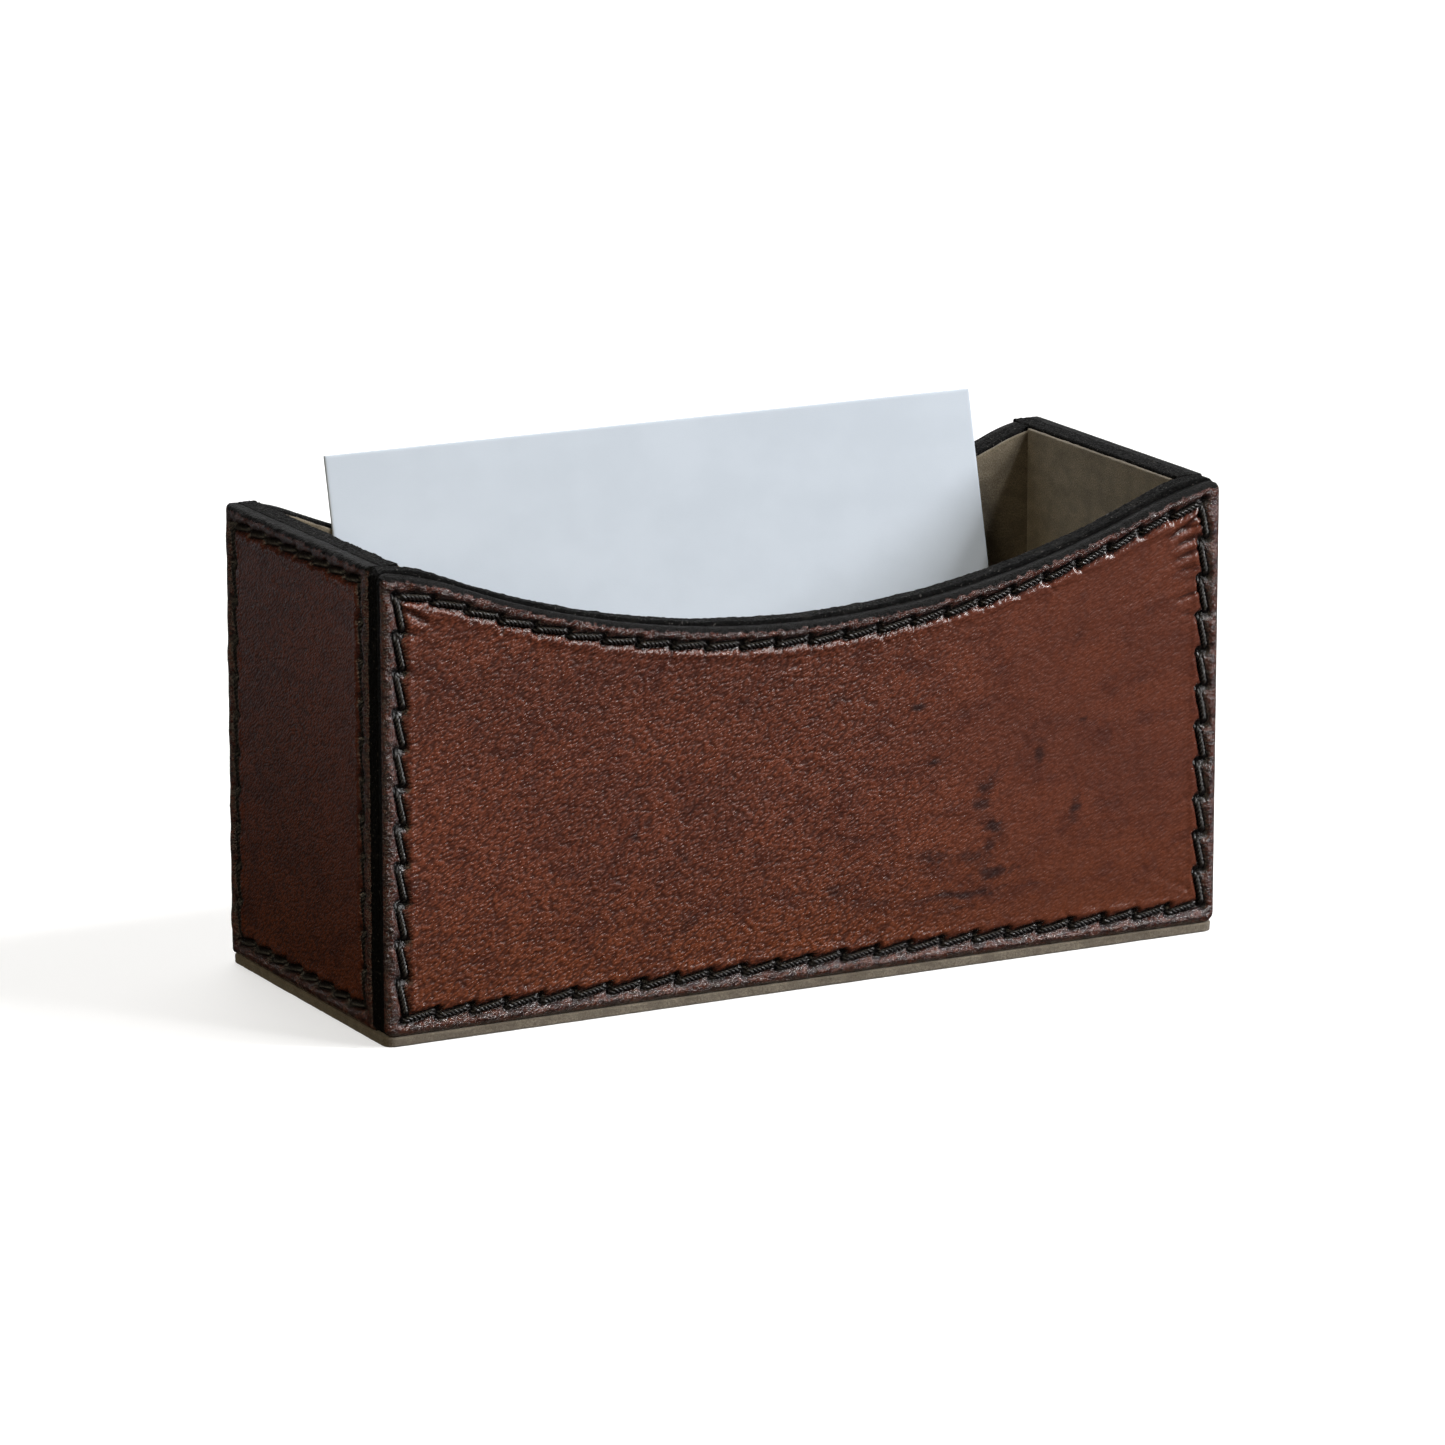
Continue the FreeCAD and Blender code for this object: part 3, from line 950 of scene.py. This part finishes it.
def make_card():
    """The card: a thin sheet with the faintest bow, leaning as the CAD card does."""
    points = np.unique(vertices_of("business_card").round(3), axis=0)
    centre = points.mean(axis=0)
    # The card's corners spread most along its height, seen from the side
    spread = np.cov((points - centre)[:, 1:].T)
    lean = np.linalg.eigh(spread)[1][:, 1]
    upward = np.array([0, *lean]) * np.sign(lean[1])
    outward = np.cross([1, 0, 0], upward)
    half_width = size_of("business_card")[0] / 2
    half_height = np.abs((points - centre) @ upward).max()
    half_thick = np.abs((points - centre) @ outward).max()
    wall = Wall(centre + outward * half_thick, (1, 0, 0), half_width, -half_height, half_height,
                upward=upward)
    u, v = wall_grid(wall, 0.8, 0.8, 1.0, 0.2, CARD_ROUND)
    gap = np.minimum.reduce(wall.distances(u, v))
    relief = CARD_ROUND * smooth_step(gap, 0, 2 * CARD_ROUND) - CARD_ROUND
    relief += 0.02 * plane_noise(u, v, 24.0, 18.0, 81)
    levels = [(half_thick, 0.0), (2 * half_thick - 0.04, 0.0), (2 * half_thick, CARD_ROUND)]
    make_sheet("blank_card", wall, u, v, relief, levels, "card_stock", "business_card", 0.008, 81,
               body="card")


def build_holder():
    """Every piece, each with its own seed."""
    for seed, (side, wall) in enumerate(outer_walls().items(), start=11):
        make_leather(side, wall, seed)
        make_board(side, wall, seed + 20)
        make_thread(side + "_thread", wall, side + "_stitching", seed + 40)
    for seed, (side, wall) in enumerate(lining_walls().items(), start=91):
        make_lining(side, wall, seed)
    make_floor_lining()
    make_base_pad()
    make_card()
    # The floor's board is the CAD solid itself, between its lining and the pad
    floor_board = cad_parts["floor_board"].data
    floor_board.materials.clear()
    floor_board.materials.append(MATERIALS["dyed_board"])


# ---- Studio, in metres ----

FLOOR_REACH = 6.0
FLOOR_GREY = (0.5, 0.5, 0.5)
FLOOR_BOUNCE = (0.03, 0.028, 0.026)
BACKDROP = (0.94, 0.94, 0.94)
MIDDLE = (0, 0, 0.03)

CAMERA_LENS = 197.1
CAMERA_AZIMUTH = math.radians(-27.87)
CAMERA_ELEVATION = math.radians(13.68)
CAMERA_DISTANCE = 0.920
CAMERA_TARGET = Vector((-0.0004, 0.0002, 0.0269))


def seen_and_lit(tree, kind, seen, lit):
    """A shader that has one colour for the camera and another for the light that it gives."""
    path = tree.nodes.new("ShaderNodeLightPath")
    mix = tree.nodes.new("ShaderNodeMixShader")
    tree.links.new(path.outputs["Is Camera Ray"], mix.inputs[0])
    for slot, colour in ((1, lit), (2, seen)):
        shader = tree.nodes.new(kind)
        if isinstance(colour, bpy.types.NodeSocket):
            tree.links.new(colour, shader.inputs["Color"])
        else:
            shader.inputs["Color"].default_value = colour
        tree.links.new(shader.outputs[0], mix.inputs[slot])
    return mix.outputs[0]


def ramp(tree, value, low, high, to_low, to_high):
    """A grey that goes from one level to another as a value rises."""
    node = tree.nodes.new("ShaderNodeMapRange")
    tree.links.new(value, node.inputs["Value"])
    levels = {"From Min": low, "From Max": high, "To Min": to_low, "To Max": to_high}
    for key, level in levels.items():
        node.inputs[key].default_value = level
    return node.outputs[0]


def make_floor():
    """A pale floor that glows more with distance, so that it meets the backdrop without a line."""
    mesh = bpy.data.meshes.new("studio_floor")
    corners = [(FLOOR_REACH * x, FLOOR_REACH * y, 0) for x, y in ((-1, -1), (1, -1), (1, 1), (-1, 1))]
    mesh.from_pydata(corners, [], [(0, 1, 2, 3)])
    floor = bpy.data.objects.new("studio_floor", mesh)
    bpy.context.scene.collection.objects.link(floor)
    material = bpy.data.materials.new("pale floor")
    material.use_nodes = True
    tree = material.node_tree
    plain = seen_and_lit(tree, "ShaderNodeBsdfDiffuse", tone(*FLOOR_GREY), tone(*FLOOR_BOUNCE))
    length = tree.nodes.new("ShaderNodeVectorMath")
    length.operation = "LENGTH"
    tree.links.new(tree.nodes.new("ShaderNodeTexCoord").outputs["Object"], length.inputs[0])
    brightness = ramp(tree, length.outputs["Value"], 0.5, 2.2, 0.6, 0.92)
    glow = seen_and_lit(tree, "ShaderNodeEmission", brightness, tone(0, 0, 0))
    both = tree.nodes.new("ShaderNodeAddShader")
    tree.links.new(plain, both.inputs[0])
    tree.links.new(glow, both.inputs[1])
    tree.links.new(both.outputs[0], tree.nodes["Material Output"].inputs["Surface"])
    mesh.materials.append(material)


def make_world():
    """A pale backdrop that gives little light, and least from the left."""
    world = bpy.data.worlds.new("studio")
    bpy.context.scene.world = world
    world.use_nodes = True
    tree = world.node_tree
    direction = tree.nodes.new("ShaderNodeTexCoord").outputs["Generated"]
    split = tree.nodes.new("ShaderNodeSeparateXYZ")
    tree.links.new(direction, split.inputs[0])
    dim = ramp(tree, split.outputs["X"], -0.2, 0.3, 0.02, 0.16)
    shader = seen_and_lit(tree, "ShaderNodeBackground", tone(*BACKDROP), dim)
    tree.links.new(shader, tree.nodes["World Output"].inputs["Surface"])


def make_light(name, place, size, power, colour=(1, 1, 1), aim=MIDDLE):
    light = bpy.data.lights.new(name, "AREA")
    light.shape = "RECTANGLE"
    light.size, light.size_y = size
    light.energy = power
    light.color = colour
    lamp = bpy.data.objects.new(name, light)
    lamp.location = place
    lamp.rotation_euler = (Vector(aim) - Vector(place)).to_track_quat("-Z", "Y").to_euler()
    lamp.visible_camera = False
    bpy.context.scene.collection.objects.link(lamp)


def make_camera():
    camera = bpy.data.objects.new("camera", bpy.data.cameras.new("camera"))
    camera.data.lens = CAMERA_LENS
    camera.data.sensor_width = 36.0
    level = math.cos(CAMERA_ELEVATION)
    back = Vector((math.sin(CAMERA_AZIMUTH) * level, -math.cos(CAMERA_AZIMUTH) * level,
                   math.sin(CAMERA_ELEVATION)))
    camera.location = CAMERA_TARGET + CAMERA_DISTANCE * back
    camera.rotation_euler = (-back).to_track_quat("-Z", "Y").to_euler()
    bpy.context.scene.collection.objects.link(camera)
    bpy.context.scene.camera = camera


def build_studio():
    make_floor()
    make_world()
    make_light("window", (0.92, -0.85, 0.74), (0.6, 0.55), 16.8)
    make_light("lamp", (0.42, -0.3, 0.8), (0.1, 0.1), 4.6)
    make_light("glint", (0.44, -0.7, 0.54), (0.07, 0.07), 1.6)
    make_light("rear_fill", (0.15, 0.85, 0.8), (0.6, 0.5), 4.0)
    make_light("ceiling", (0.1, 0.3, 0.9), (0.5, 0.4), 3.0)
    make_light("left_fill", (-0.8, -0.45, 0.5), (0.5, 0.5), 2.7, (1.0, 0.86, 0.6))
    # A faint panel on the floor, facing up, that the left face mirrors
    make_light("left_sheen", (-0.23, 0.34, 0.003), (0.3, 0.3), 0.14, (0.8, 0.9, 1.0),
               aim=(-0.22, 0.34, 1.0))
    make_camera()
    bpy.context.scene.view_settings.view_transform = "Standard"


build_holder()
build_studio()
